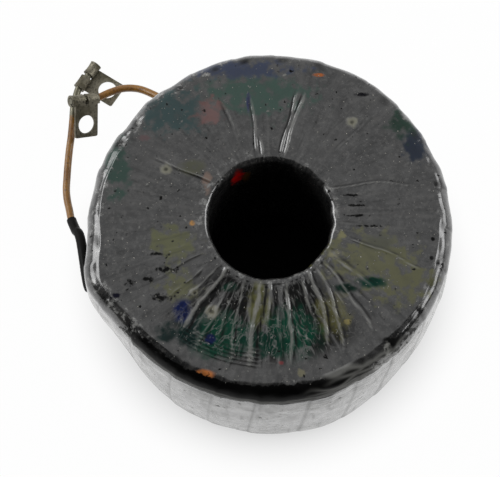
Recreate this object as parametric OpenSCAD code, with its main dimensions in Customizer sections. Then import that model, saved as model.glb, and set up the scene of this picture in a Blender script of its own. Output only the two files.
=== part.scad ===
// Toroidal inductor: a powder core, one layer of enamelled wire, a varnished tape wrap
// and two free leads with crimped flag terminals.
// The ring stands on its flat face with the axis of its bore along +Z and z = 0 at the base.

/* [Ring] */
// Outside diameter over the tape laps, at the widest part of the side
ring_od = 76; // [70:0.5:84]
// Overall height over the tape laps
ring_h = 40; // [32:0.5:50]
// Diameter of the open bore
bore_d = 26; // [20:0.5:30]
// Rounding of the outer rims
rim_r = 4; // [3:0.25:6]
// How far the side swells out at mid height
side_swell = 0.7; // [0.3:0.1:1.5]

/* [Outer wrap] */
// Wall of the wrap between its laps
wrap_t = 1.6; // [1:0.1:2.5]
// Step from one turn of tape to the next, round the outside
lap_pitch = 10; // [7:0.5:15]
// Width of the strip where two turns of tape overlap, at the outside
lap_w = 5; // [3:0.25:6.5]
// Width of the band round the bore where the turns overlap all the way round
full_lap_w = 3.5; // [2:0.25:6]
// How far an overlap stands above the single tape
lap_t = 0.35; // [0.2:0.05:0.6]
// Radius of the round swelling where a lead comes out
exit_r = 5; // [4:0.25:6]
// How far that swelling stands out of the side
exit_h = 0.9; // [0.5:0.1:1.5]

/* [Winding] */
// Diameter of the enamelled wire
wire_d = 1.7; // [1.2:0.05:2]
// Gap between neighbouring turns in the bore
turn_gap = 0.2; // [0.1:0.05:0.8]
// Radius of the wire's bends, on its centreline
bend_r = 2.6; // [2.2:0.1:3.5]

/* [Core] */
// Thickness of the tape that insulates the core
core_tape_t = 0.6; // [0.3:0.1:1]
// Clearance between one layer and the next
layer_fit = 0.1; // [0.05:0.01:0.2]

/* [Leads] */
// Direction in which the start lead leaves the ring
start_angle = 120; // [110:1:130]
// Direction in which the finish lead leaves the ring
finish_angle = 187.5; // [172.5:15:187.5]
// Height at which both leads leave the side
exit_z = 8; // [7.5:0.25:12]
// Straight stretch of a lead outside the ring
exit_run = 2.6; // [2:0.2:4]
// Wall of the black sleeve at the root of a lead
sleeve_t = 0.2; // [0.15:0.05:0.3]
// Clearance between a lead and its sleeve
sleeve_fit = 0.06; // [0.04:0.01:0.1]
// Clearance between a sleeve and its hole in the wrap
hole_fit = 0.1; // [0.05:0.05:0.3]

/* [Terminals] */
// Thickness of the terminal's sheet
sheet_t = 0.5; // [0.4:0.05:1]
// Width of the flag
tab_w = 6; // [5.6:0.1:8]
// From the wire's axis to the end of the flag
tab_reach = 8.6; // [8:0.1:11]
// Diameter of the screw hole
screw_d = 4.3; // [3.2:0.1:4.5]
// From the screw hole's centre to the end of the flag
screw_margin = 3.05; // [2.8:0.05:3.5]
// Length of each crimped grip
grip_l = 3.1; // [2.5:0.1:4]
// Notch between the two grips
grip_gap = 0.9; // [0.6:0.1:1.5]
// How far the notch reaches into the flag
notch_l = 0.9; // [0.5:0.1:1.2]
// How far a grip is curled round the wire, in degrees
curl = 295; // [270:1:300]
// Clearance between a grip and the wire
crimp_fit = 0.03; // [0.02:0.01:0.06]

/* [Hidden] */
$fn = 96;
rim_steps = 6;
side_steps = 6;

// Radii of the bore and of the wrap between its laps, at mid height and at its ends
bore_r = bore_d / 2;
single_r = ring_od / 2 - lap_t;
wall_r = single_r - side_swell;

// Room inside the wrap
room_in = bore_r + wrap_t;
room_out = wall_r - wrap_t;
room_lo = lap_t + wrap_t;
room_hi = ring_h - room_lo;
room_round = bend_r;

// Centrelines of the winding's legs and runs
leg_in = room_in + layer_fit + wire_d / 2;
leg_out = room_out - layer_fit - wire_d / 2;
run_lo = room_lo + layer_fit + wire_d / 2;
run_hi = ring_h - run_lo;

// Outside of the taped core, inside the turns
wire_off = wire_d / 2 + layer_fit;
tape_round = bend_r - wire_off;
core_off = wire_off + core_tape_t + layer_fit;
core_round = bend_r - core_off;

// Turns fill the ring from the finish lead round to the start lead
wound_span = 360 - (finish_angle - start_angle);
turns = floor(wound_span * PI / 180 * leg_in / (wire_d + turn_gap));
turn_step = wound_span / turns;
laps = round(PI * ring_od / lap_pitch);
lap_angle = lap_w / (ring_od / 2) * 180 / PI;

// Sleeves and the holes that they pass
sleeve_in = wire_d / 2 + sleeve_fit;
sleeve_out = sleeve_in + sleeve_t;
butt_gap = 0.02;

// Crimped grips
curl_r = wire_d / 2 + crimp_fit;
barrel_l = 2 * grip_l + grip_gap;
tab_rest_z = curl_r + sheet_t;

function unit(v) = v / norm(v);

// A point on the side of the ring
function polar(r, angle, z) = [r * cos(angle), r * sin(angle), z];

// A lead's stretch through the wrap, from its winding to the end of its straight run
function root_points(angle) = [
    polar(leg_out + wire_d / 2 + butt_gap, angle, exit_z),
    polar(ring_od / 2 + exit_run, angle, exit_z)
];

// The start lead arches over the other lead's terminal and climbs into its own
start_points = [
    [-24, 39, 7], [-27, 41.2, 6], [-30.5, 43, 5], [-34, 43.4, 4.4], [-37.2, 42.6, 4],
    [-40.3, 41, 4.2], [-45.9, 38.7, 7.9]
];
start_sleeve_points = [[-24, 39, 7]];
start_roll = 138;

// The finish lead drops to the table and lies along it up to its terminal
finish_sleeve_points = [[-42.5, 5.8, 6.5], [-43.9, 8.6, 5], [-45.1, 11.4, 3.6]];
finish_points = concat(finish_sleeve_points, [
    [-45.8, 14.1, 2.6], [-46.5, 16.8, 1.8], [-46.9, 19.5, 1.2], [-46.9, 22.5, 1], [-46.8, 26, 1],
    [-46.6, 29.5, 1], [-46.3, 33, 1], [-46.1, 36.5, 1.2], [-45.9, 40.5, tab_rest_z],
    [-45, 44.6, tab_rest_z], [-41.1, 50.7, tab_rest_z]
]);
finish_roll = 0;

start_route = concat(root_points(start_angle), start_points);
finish_route = concat(root_points(finish_angle), finish_points);

// The winding's wire goes down outside the core, one step forward under it, up in the bore
// and straight out over the top, with each corner cut along the tangents of its bend
half_corner = 22.5;
bend_cut = bend_r * (1 - tan(half_corner));
function turn_points(k) =
    let (
        here = finish_angle + k * turn_step,
        next = here + turn_step,
        outside = polar(leg_out, here, run_lo),
        inside = polar(leg_in, next, run_lo),
        inward = bend_cut * unit(inside - outside),
        up = [0, 0, bend_cut]
    )
    [
        outside + up, outside + inward, inside - inward, inside + up,
        polar(leg_in, next, run_hi - bend_cut), polar(leg_in + bend_cut, next, run_hi),
        polar(leg_out - bend_cut, next, run_hi), polar(leg_out, next, run_hi - bend_cut)
    ];
winding_route = concat(
    [polar(leg_out, finish_angle, exit_z + wire_d / 2)],
    [for (k = [0:turns - 1]) each turn_points(k)],
    [polar(leg_out, start_angle, exit_z - wire_d / 2)]
);

// Sweep of a round wire along a route, one ring of eight corners at each point.
// Each ring has one corner axis to its side and the other square to that and to the route.
SIDES = 8;
function heading(route, i) =
    let (last = len(route) - 1)
    unit(
        (i > 0 ? unit(route[i] - route[i - 1]) : [0, 0, 0])
        + (i < last ? unit(route[i + 1] - route[i]) : [0, 0, 0])
    );
function level_sides(route) = [for (i = [0:len(route) - 1]) cross(heading(route, i), [0, 0, 1])];
function round_sides(route) = [for (p = route) [-p.y, p.x, 0]];
function ring_at(at, ahead, toward, r) =
    let (side = unit(toward - (toward * ahead) * ahead), up = cross(side, ahead))
    [for (k = [0:SIDES - 1]) let (a = (k + 0.5) * 360 / SIDES) at + r * (cos(a) * side + sin(a) * up)];
function tube_points(route, sides, r) = [
    for (i = [0:len(route) - 1]) each ring_at(route[i], heading(route, i), sides[i], r)
];
function split(quad, flip) =
    flip ? [[quad[2], quad[1], quad[0]], [quad[3], quad[2], quad[0]]]
    : [[quad[0], quad[1], quad[2]], [quad[0], quad[2], quad[3]]];
function wall_faces(rings, first, flip) = [
    for (i = [0:rings - 2], k = [0:SIDES - 1])
        let (a = first + i * SIDES + k, b = first + i * SIDES + (k + 1) % SIDES)
        each split([a, b, b + SIDES, a + SIDES], flip)
];

module swept_wire(route, sides, r) {
    rings = len(route);
    start_cap = [for (k = [SIDES - 1:-1:0]) k];
    end_cap = [for (k = [0:SIDES - 1]) (rings - 1) * SIDES + k];
    polyhedron(
        tube_points(route, sides, r),
        concat([start_cap], wall_faces(rings, 0, false), [end_cap]),
        convexity = 6
    );
}

module swept_sleeve(route, sides, r_out, r_in) {
    rings = len(route);
    inner = rings * SIDES;
    rims = [
        for (at = [0, rings - 1], k = [0:SIDES - 1])
            let (a = at * SIDES + k, b = at * SIDES + (k + 1) % SIDES)
            each split([b, a, inner + a, inner + b], at > 0)
    ];
    polyhedron(
        concat(tube_points(route, sides, r_out), tube_points(route, sides, r_in)),
        concat(wall_faces(rings, 0, false), wall_faces(rings, inner, true), rims),
        convexity = 6
    );
}

// Section of a ring with four equal round corners
module round_section(r_in, r_out, z_lo, z_hi, corner) {
    translate([r_in + corner, z_lo]) square([r_out - r_in - 2 * corner, z_hi - z_lo]);
    translate([r_in, z_lo + corner]) square([r_out - r_in, z_hi - z_lo - 2 * corner]);
    for (r = [r_in + corner, r_out - corner], z = [z_lo + corner, z_hi - corner])
        translate([r, z]) circle(corner);
}

// Points along an arc about a centre
function arc(centre, r, from, to, steps) = [
    for (i = [0:steps]) let (a = from + (to - from) * i / steps) centre + r * [cos(a), sin(a)]
];

// Outline of the wrap's section, grown by the given skin: round rims and a swelling side
function wrap_outline(skin, from) =
    let (
        lo = lap_t - skin,
        rim = rim_r + skin,
        edge = wall_r + skin,
        half = ring_h / 2 - lo - rim,
        side = [
            for (i = [1:side_steps - 1])
                let (t = 2 * i / side_steps - 1) [edge + side_swell * (1 - t * t), ring_h / 2 + t * half]
        ]
    )
    concat(
        [[from, lo]],
        arc([edge - rim, lo + rim], rim, -90, 0, rim_steps),
        side,
        arc([edge - rim, ring_h - lo - rim], rim, 0, 90, rim_steps),
        [[from, ring_h - lo]]
    );

module core() {
    color("dimgray")
        rotate_extrude() round_section(
            leg_in + core_off, leg_out - core_off, run_lo + core_off, run_hi - core_off, core_round
        );
}

module core_tape() {
    inside = core_off - layer_fit;
    color("goldenrod")
        rotate_extrude() difference() {
            round_section(
                leg_in + wire_off, leg_out - wire_off, run_lo + wire_off, run_hi - wire_off, tape_round
            );
            round_section(
                leg_in + inside, leg_out - inside, run_lo + inside, run_hi - inside, tape_round - core_tape_t
            );
        }
}

// One wire from the finish lead round the core to the start lead
module winding() {
    color("peru") swept_wire(winding_route, round_sides(winding_route), wire_d / 2);
}

// Everything outside the single tape's outline, beyond the band round the bore
function groove_outline() =
    let (inside = bore_r + full_lap_w, past = ring_od / 2 + exit_h, over = 2 * lap_t)
    concat(
        wrap_outline(0, inside),
        [[inside, ring_h + over], [past, ring_h + over], [past, -over], [inside, -over]]
    );

// Varnished tape, wound through the bore: its turns overlap in raised laps, with a groove
// of single tape between them, and it swells where each lead comes out
module outer_wrap() {
    groove_angle = 360 / laps - lap_angle;
    color([0.16, 0.17, 0.17])
        difference() {
            union() {
                difference() {
                    rotate_extrude() polygon(wrap_outline(lap_t, bore_r - wrap_t));
                    for (k = [0:laps - 1])
                        rotate([0, 0, start_angle + k * 360 / laps + lap_angle / 2])
                            rotate_extrude(angle = groove_angle) polygon(groove_outline());
                }
                for (angle = [start_angle, finish_angle])
                    translate(polar(ring_od / 2 + exit_h - exit_r, angle, exit_z)) sphere(exit_r);
            }
            rotate_extrude() round_section(room_in, room_out, room_lo, room_hi, room_round);
            translate([0, 0, -1]) cylinder(r = bore_r, h = ring_h + 2);
            for (angle = [start_angle, finish_angle])
                translate(polar(room_out - 1, angle, exit_z)) rotate([0, 90, angle])
                    cylinder(r = sleeve_out + hole_fit, h = ring_od / 2 - room_out + exit_h + 2);
        }
}

module start_lead() {
    color("sienna") swept_wire(start_route, level_sides(start_route), wire_d / 2);
}

module finish_lead() {
    color("sienna") swept_wire(finish_route, level_sides(finish_route), wire_d / 2);
}

// Black sleeve from inside the wrap along the root of a lead
module sleeve(angle, points) {
    root = [
        polar(room_out + layer_fit, angle, exit_z),
        polar(ring_od / 2 + exit_run, angle, exit_z)
    ];
    route = concat(root, points);
    color([0.12, 0.12, 0.12]) swept_sleeve(route, level_sides(route), sleeve_out, sleeve_in);
}

module start_sleeve() {
    sleeve(start_angle, start_sleeve_points);
}

module finish_sleeve() {
    sleeve(finish_angle, finish_sleeve_points);
}

// Flag terminal about the middle of its barrel: the wire runs along +X,
// the flag reaches along -Y and its sheet curls up and over the wire in two grips
module flag_terminal() {
    color("darkkhaki") {
        translate([0, 0, -curl_r - sheet_t]) linear_extrude(sheet_t) difference() {
            union() {
                translate([-tab_w / 2, -tab_reach]) square([tab_w, tab_reach]);
                translate([-barrel_l / 2, -notch_l]) square([barrel_l, notch_l]);
            }
            translate([-grip_gap / 2, -notch_l]) square([grip_gap, notch_l + 1]);
            translate([0, screw_margin - tab_reach]) circle(d = screw_d);
        }
        for (x = [-barrel_l / 2, grip_gap / 2])
            translate([x, 0, 0]) rotate([0, 90, 0]) rotate_extrude(angle = curl)
                translate([curl_r, 0]) square([sheet_t, grip_l]);
    }
}

// A terminal at the end of a lead, on its last straight stretch, rolled about the wire
module crimped_on(route, roll) {
    tip = route[len(route) - 1];
    way = unit(tip - route[len(route) - 2]);
    translate(tip - way * barrel_l / 2)
        rotate([0, -asin(way.z), atan2(way.y, way.x)]) rotate([roll, 0, 0])
            flag_terminal();
}

module start_terminal() {
    crimped_on(start_route, start_roll);
}

module finish_terminal() {
    crimped_on(finish_route, finish_roll);
}

core();
core_tape();
winding();
outer_wrap();
start_lead();
finish_lead();
start_sleeve();
finish_sleeve();
start_terminal();
finish_terminal();
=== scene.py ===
# %% [markdown]
# The object is a toroidal inductor: a ring of wound copper bandaged in black varnished tape, lying on
# its flat side. Two stiff enamelled wires leave it low on one side and end in crimped flag terminals.
# The solids are already placed by the frame, in metres, so every piece here is built where its solid is.

# %% Load the frame
import math

import bmesh
import bpy
import numpy as np
from mathutils import Matrix, Vector
from mathutils.geometry import tessellate_polygon


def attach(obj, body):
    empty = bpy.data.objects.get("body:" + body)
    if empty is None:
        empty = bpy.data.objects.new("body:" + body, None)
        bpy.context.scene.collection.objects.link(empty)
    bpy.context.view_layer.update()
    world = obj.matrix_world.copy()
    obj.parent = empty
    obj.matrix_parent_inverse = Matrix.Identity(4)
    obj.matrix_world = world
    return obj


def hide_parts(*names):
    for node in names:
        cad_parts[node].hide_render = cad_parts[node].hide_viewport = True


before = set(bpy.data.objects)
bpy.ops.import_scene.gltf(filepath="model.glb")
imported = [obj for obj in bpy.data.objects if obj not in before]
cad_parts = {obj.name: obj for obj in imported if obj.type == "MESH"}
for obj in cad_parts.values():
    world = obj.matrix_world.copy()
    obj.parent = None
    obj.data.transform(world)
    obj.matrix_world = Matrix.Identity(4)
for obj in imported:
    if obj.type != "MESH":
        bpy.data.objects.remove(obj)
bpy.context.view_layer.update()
MM = 0.001
scene = bpy.context.scene
print("solids in the frame:", sorted(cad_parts))

# %% [markdown]
# The photograph looks down steeply at the ring from in front. A long lens far away could give the same
# picture, but the ring's sides narrow towards the table in the photograph, so the camera stands close.
# The small shift only places the ring in the frame as the photograph has it.

# %% Camera
CAMERA_PLACE, CAMERA_TILT = (0.0, -0.10035, 0.3470), 18.1
SENSOR_MM, LENS_MM, LENS_SHIFT = 36.0, 114.4, (-0.04, -0.041)
lens = bpy.data.cameras.new("photo_camera")
lens.sensor_width, lens.lens = SENSOR_MM, LENS_MM
lens.shift_x, lens.shift_y = LENS_SHIFT
camera = bpy.data.objects.new("photo_camera", lens)
camera.location = CAMERA_PLACE
camera.rotation_euler = (math.radians(CAMERA_TILT), 0.0, 0.0)
scene.collection.objects.link(camera)
scene.camera = camera
scene.view_settings.view_transform = "Standard"
print("camera at", [round(v, 3) for v in camera.location])

# %% [markdown]
# Both leads are single copper wires as thick as a thin knitting needle, so they hold the bends they were
# given by hand. Each route starts inside the bandage, where the wire leaves the winding, runs straight out
# through the wall and then follows the photograph to its terminal. The points are those of the solids.

# %% Routes of the two leads
WIRE_R, WIRE_CHAMFER = 0.85, 0.12
ROOT_R, STRAIGHT_R, EXIT_Z = 35.27, 40.6, 8.0
START_ANGLE, FINISH_ANGLE = 120.0, 187.5
START_POINTS = [(-24, 39, 7), (-27, 41.2, 6), (-30.5, 43, 5), (-34, 43.4, 4.4), (-37.2, 42.6, 4),
                (-40.3, 41, 4.2), (-45.9, 38.7, 7.9)]
FINISH_POINTS = [(-42.5, 5.8, 6.5), (-43.9, 8.6, 5), (-45.1, 11.4, 3.6), (-45.8, 14.1, 2.6),
                 (-46.5, 16.8, 1.8), (-46.9, 19.5, 1.2), (-46.9, 22.5, 1), (-46.8, 26, 1), (-46.6, 29.5, 1),
                 (-46.3, 33, 1), (-46.1, 36.5, 1.2), (-45.9, 40.5, 1.38), (-45, 44.6, 1.38),
                 (-41.1, 50.7, 1.38)]


def polar(radius, degrees, z):
    a = math.radians(degrees)
    return (radius * math.cos(a), radius * math.sin(a), z)


def straight(a, b, parts=4):
    """The two ends of a straight stretch with points between, so that a smooth curve stays straight there."""
    return [tuple(np.array(a) + (np.array(b) - np.array(a)) * k / parts) for k in range(parts + 1)]


def walked_along(points):
    """How far each point is from the first, along the points."""
    return np.concatenate([[0], np.cumsum(np.linalg.norm(np.diff(points, axis=0), axis=1))])


def smooth_route(points, spacing=0.35):
    """A smooth curve through the points, sampled evenly, in millimetres."""
    p = np.array(points, float)
    p = np.vstack([2 * p[0] - p[1], p, 2 * p[-1] - p[-2]])
    out = []
    for i in range(1, len(p) - 2):
        a, b, c, d = p[i - 1:i + 3]
        for t in np.linspace(0, 1, 24, endpoint=False):
            out.append(0.5 * (2 * b + (c - a) * t + (2 * a - 5 * b + 4 * c - d) * t ** 2
                              + (3 * b - a - 3 * c + d) * t ** 3))
    out = np.array(out + [p[-2]])
    walked = walked_along(out)
    even = np.linspace(0, walked[-1], max(8, int(round(walked[-1] / spacing))))
    return np.stack([np.interp(even, walked, out[:, k]) for k in range(3)], axis=1)


def lead_route(angle, points):
    root = straight(polar(ROOT_R, angle, EXIT_Z), polar(STRAIGHT_R, angle, EXIT_Z))
    return smooth_route(root + points[:-2] + straight(points[-2], points[-1]))


def route_length(route):
    return float(np.linalg.norm(np.diff(route, axis=0), axis=1).sum())


start_route = lead_route(START_ANGLE, START_POINTS)
finish_route = lead_route(FINISH_ANGLE, FINISH_POINTS)
print("start lead %.1f mm, finish lead %.1f mm" % (route_length(start_route), route_length(finish_route)))

# %% [markdown]
# Every finish is made of nodes. A few short helpers add a node with its values, and two small node groups
# are shared by several finishes: one lays a soft ragged patch at a place on the piece, the other mottles a
# surface with grime. Both read the piece's own coordinates, so nothing slides when the view changes.

# %% Helpers for finishes
def set_inputs(tree, node, inputs):
    """Gives a node its inputs, as values or as sockets to link."""
    for key, value in inputs.items():
        if isinstance(value, bpy.types.NodeSocket):
            tree.links.new(value, node.inputs[key])
        else:
            node.inputs[key].default_value = value


def add(tree, kind, inputs=None, **props):
    """A node with its properties and inputs."""
    n = tree.nodes.new(kind)
    for key, value in props.items():
        setattr(n, key, value)
    set_inputs(tree, n, inputs or {})
    return n


def new_finish(name):
    finish = bpy.data.materials.new(name)
    finish.use_nodes = True
    tree = finish.node_tree
    tree.nodes.clear()
    bsdf = add(tree, "ShaderNodeBsdfPrincipled")
    add(tree, "ShaderNodeOutputMaterial", {"Surface": bsdf.outputs["BSDF"]})
    return finish, tree, bsdf


def mix_colour(tree, mask, under, over):
    """The colour over where the mask is 1 and under where it is 0."""
    return add(tree, "ShaderNodeMix", {0: mask, 6: under, 7: over}, data_type="RGBA").outputs[2]


def ramp_value(tree, value, low, high, to_low=0.0, to_high=1.0):
    n = add(tree, "ShaderNodeMapRange", {"Value": value, "From Min": low, "From Max": high,
                                         "To Min": to_low, "To Max": to_high},
            interpolation_type="SMOOTHSTEP")
    return n.outputs["Result"]


def sum_up(tree, operation, *values):
    return add(tree, "ShaderNodeMath", dict(enumerate(values)), operation=operation).outputs[0]


def times(tree, a, b):
    return sum_up(tree, "MULTIPLY", a, b)


def vectors(tree, operation, a, b=(0, 0, 0)):
    n = add(tree, "ShaderNodeVectorMath", {0: a, 1: b}, operation=operation)
    return n.outputs["Value" if operation == "LENGTH" else "Vector"]


def noise(tree, place, scale, detail, **more):
    inputs = {"Vector": place, "Scale": scale, "Detail": detail, **more}
    return add(tree, "ShaderNodeTexNoise", inputs).outputs["Fac"]


def own_value(tree, name):
    """The piece's own value of that name at each point."""
    return add(tree, "ShaderNodeAttribute", attribute_name=name).outputs["Fac"]


def lay_over(tree, under, mask, paint, dulled=0.0):
    """A colour and its dullness with a paint over them where the mask is, dulled there by that share."""
    colour, dull = under
    if dulled:
        dull = sum_up(tree, "MAXIMUM", dull, times(tree, mask, dulled))
    return mix_colour(tree, mask, colour, paint), dull


def group_tree(name, inputs, outputs):
    tree = bpy.data.node_groups.new(name, "ShaderNodeTree")
    for label, kind, value in inputs:
        socket = tree.interface.new_socket(label, in_out="INPUT", socket_type="NodeSocket" + kind)
        socket.default_value = value
    for label, kind in outputs:
        tree.interface.new_socket(label, in_out="OUTPUT", socket_type="NodeSocket" + kind)
    return tree, add(tree, "NodeGroupInput").outputs, add(tree, "NodeGroupOutput").inputs


def soft_patch_group():
    """A mask that is 1 round a centre and fades with a ragged edge at the reach."""
    tree, given, result = group_tree(
        "soft_patch", [("Place", "Vector", (0, 0, 0)), ("Centre", "Vector", (0, 0, 0)),
                       ("Reach", "Vector", (1, 1, 1)), ("Ragged", "Float", 0.5),
                       ("Grain", "Float", 400.0)], [("Mask", "Float")])
    away = vectors(tree, "SUBTRACT", given["Place"], given["Centre"])
    far = vectors(tree, "LENGTH", vectors(tree, "DIVIDE", away, given["Reach"]))
    edge = sum_up(tree, "SUBTRACT", noise(tree, given["Place"], given["Grain"], 4.0), 0.5)
    rough = sum_up(tree, "MULTIPLY_ADD", edge, given["Ragged"], far)
    tree.links.new(ramp_value(tree, rough, 1.05, 0.40), result["Mask"])
    return tree


def grime_group():
    """Mottling at two scales: a broad one that clouds the surface, and a fine one that specks it."""
    tree, given, result = group_tree(
        "grime", [("Place", "Vector", (0, 0, 0)), ("Broad", "Float", 60.0), ("Fine", "Float", 900.0)],
        [("Cloud", "Float"), ("Speck", "Float")])
    broad = noise(tree, given["Place"], given["Broad"], 5.0)
    fine = noise(tree, given["Place"], given["Fine"], 2.0)
    tree.links.new(ramp_value(tree, broad, 0.35, 0.7), result["Cloud"])
    tree.links.new(ramp_value(tree, fine, 0.5, 0.72), result["Speck"])
    return tree


SOFT_PATCH, GRIME = soft_patch_group(), grime_group()


def use_group(tree, group, inputs):
    return add(tree, "ShaderNodeGroup", inputs, node_tree=group).outputs


def soft_patch(tree, place, centre, reach, ragged, grain):
    """The mask of one soft patch, with its centre and reach in millimetres."""
    return use_group(tree, SOFT_PATCH, {
        "Place": place, "Centre": [c * MM for c in centre], "Reach": [c * MM for c in reach],
        "Ragged": ragged, "Grain": grain})["Mask"]


def place_of(tree):
    return add(tree, "ShaderNodeTexCoord").outputs["Object"]


def grime_of(tree, broad, fine):
    return use_group(tree, GRIME, {"Place": place_of(tree), "Broad": broad, "Fine": fine})


print("node groups:", SOFT_PATCH.name, GRIME.name)

# %% [markdown]
# The varnished tape is black and glossy. Its grey in the photograph is mostly reflection: a clear coat over
# a dark body, both quite refractive, so the steep top stays dark and the upright side mirrors the pale table.
# Old varnish has dried in patches of olive, green and blue, with a few orange and red marks. Each mark is
# one soft patch in millimetres: centre, reach and colour.

# %% Marks on the tape
MARK_Z, MARK_DEPTH, BARE = 40, 3, (2, 2, 2)
# Centre and reach in millimetres, colour in thousandths, raggedness, and how far the gloss is dulled.
# A centre without a height is on the top, and a reach without a depth has the usual one.
MARKS = [
    # Olive dried varnish
    ((-20, -5.5), (5.2, 4.4), (90, 94, 36), 2.6, 0.45),
    ((-19, -14.5), (4.4, 3.2), (84, 86, 32), 2.8, 0.45),
    ((20.5, -8.4), (10.5, 5.6), (92, 92, 38), 3.2, 0.45),
    ((26.5, -13.5), (7.0, 4.6), (86, 86, 32), 3.2, 0.45),
    ((12.5, -20.5), (4.2, 5.6), (80, 76, 24), 1.8, 0.5),
    ((-2.2, -19), (2.8, 6.0), (92, 92, 34), 1.8, 0.4),
    ((-16, 11), (3.6, 2.0), (50, 52, 26), 0.9, 0.4),
    ((22, -5), (4.0, 2.2), (56, 58, 34), 1.0, 0.4),
    # Green and blue where the varnish pooled
    ((-9.5, -24.5), (8.2, 6.0), (0.4, 40, 22), 1.1, 1.0),
    ((4.5, -24), (7.2, 6.4), (0.4, 44, 24), 1.1, 1.0),
    ((-1.5, -26), (6.0, 3.6), (0.5, 28, 17), 1.3, 1.0),
    ((-16.5, -23.5), (3.2, 4.6), (2, 16, 14), 1.3, 1.0),
    ((-17.4, -19.6), (2.4, 3.2), (3, 9, 60), 1.1, 1.0),
    ((-12.0, -25.2), (1.6, 1.2), (4, 9, 55), 1.2, 1.0),
    ((-20.5, -24.0), (3.0, 2.6), (2, 14, 13), 1.6, 0.9),
    ((20.5, -13.4), (4.2, 1.5), (0.5, 34, 22), 1.1, 1.0),
    ((15.0, -14.6), (3.4, 1.2), (1, 18, 11), 1.4, 1.0),
    ((-8, -14.6), (2.2, 1.3), (1, 22, 13), 1.2, 1.0),
    ((-3, 27.5), (13, 5.5), (12, 52, 36), 2.4, 0.40),
    ((-20, 24), (8, 6), (6, 36, 38), 2.4, 0.45),
    ((-31.5, 11, 39), (3.2, 8.0, 4), (6, 40, 27), 2.2, 0.5),
    ((-6, 33, 39), (15, 2.6, 4), (12, 24, 64), 2.4, 0.45),
    ((-4.5, 25.5), (0.6, 2.6), (8, 16, 85), 1.0, 0.6),
    ((30, 17, 39), (3.4, 5.6, 4), (8, 16, 34), 2.2, 0.75),
    ((27.5, 21), (3.4, 4.4), (6, 30, 18), 2.2, 0.75),
    # Bare dark places
    ((-22.5, -7.6), (2.6, 0.45, 2), BARE, 2.6, 1.0),
    ((-20.6, -10.8), (3.2, 0.70, 2), BARE, 3.0, 1.0),
    ((-24.5, -12.8), (1.5, 0.70, 2), BARE, 3.0, 1.0),
    ((-28.0, -13.6), (1.5, 0.75, 2), BARE, 3.0, 1.0),
    ((-31.0, -16.4), (1.3, 0.9, 2), (2, 2, 10), 1.4, 1.0),
    ((-21.5, -16.6), (3.2, 0.8, 2), BARE, 3.0, 1.0),
    ((24.4, -25.6, 39.6), (3.4, 1.0, 2), BARE, 1.6, 1.0),
    ((31.6, -24.4, 37.6), (1.9, 0.9, 2.5), BARE, 0.9, 1.0),
    ((33.0, -4.4, 39.6), (0.55, 0.6, 2), BARE, 0.8, 1.0),
    ((32.6, -8.4, 39.6), (0.55, 0.7, 2), BARE, 0.8, 1.0),
    ((19.0, 27.2, 39.6), (1.9, 0.6, 2), (2, 2, 5), 1.2, 1.0),
    ((17.6, 0.6), (3.0, 0.30, 2), BARE, 3.4, 1.0),
    ((18.0, 2.8), (2.4, 0.30, 2), BARE, 3.6, 1.0),
    ((19.5, -1.6), (2.6, 0.30, 2), BARE, 3.6, 1.0),
    ((16.2, 5.0), (1.8, 0.28, 2), BARE, 3.6, 1.0),
    # Painted glints: bright spots at the front rim
    ((15.1, -33.2, 39.4), (0.9, 1.5, 2), (340, 340, 320), 1.7, 0.2),
    ((23.4, -27.2, 39.4), (0.9, 1.8, 2), (300, 300, 280), 1.7, 0.2),
    # Orange, red and yellow marks
    ((-13.2, -32.3, 39.6), (2.7, 1.15, 2), (520, 180, 50), 0.5, 0.9),
    ((10.2, 31.6, 39.6), (1.5, 0.55, 2), (420, 120, 30), 0.4, 0.9),
    ((-15.8, -1.0), (0.75, 0.75, 2), (500, 260, 80), 0.4, 0.9),
    ((-12.4, 23.4), (3.4, 3.4), (120, 50, 45), 2.4, 0.2),
    ((-26, 17.5), (1.6, 0.9), (70, 34, 36), 1.2, 0.3),
    ((-7.0, 10.9, 34.4), (2.2, 1.9, 4.8), (620, 4, 3), 0.9, 0.9),
    ((-5.0, 12.0, 32.0), (1.2, 1.2, 4.4), (160, 70, 8), 0.9, 0.9),
    ((-13.0, 8.0, 39.6), (1.1, 3.0, 2), (160, 105, 80), 2.2, 0.4),
    ((14.6, -3.6), (0.9, 1.1, 2), (170, 160, 65), 1.8, 0.4),
    ((13.4, -7.6), (1.8, 1.2, 2), (190, 180, 100), 1.9, 0.4),
    ((10.6, -34.0, 39.4), (1.9, 0.8, 2), (150, 140, 65), 1.4, 0.5),
    ((6.2, -32.0, 39.8), (0.9, 1.0, 2), (130, 120, 65), 1.6, 0.4),
    ((15.4, -21.6), (0.9, 0.7, 2), (220, 180, 50), 1.4, 0.5),
    ((2.2, -30.0), (0.7, 0.5, 2), (160, 14, 16), 1.0, 0.7),
]
CRATERS = [(-11.6, -19.6, 1.1), (-21.4, 10.6, 1.0), (17.0, 21.0, 1.0), (-15.2, -15.6, 0.7)]
print("marks on the tape:", len(MARKS) + len(CRATERS))

# %% Varnished tape finish
# Three near blacks: pits plus the painted dark reflection in front, lap seams plus the painted shade in pleat
# troughs, and the painted dark reflection on the front rim
BLACK_PIT_AND_PAINTED_DARK, BLACK_SEAM_AND_FOLD_SHADE, BLACK_PAINTED_REFLECTION = [(v, v, v, 1) for v in (0.003, 0.004, 0.0015)]
MARK_GRAIN, SMALL_MARK_GRAIN = 520.0, 1300.0
# Share of the crater's size, raggedness, grain and colour of its pale wall and of its pit
CRATER_RINGS = [(1.5, 1.2, 700.0, (0.165, 0.160, 0.110, 1)), (0.6, 0.6, 900.0, (0.030, 0.028, 0.004, 1))]
tape_finish, tree, bsdf = new_finish("varnished_tape")
place = place_of(tree)
grime = grime_of(tree, 95.0, 1500.0)
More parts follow.
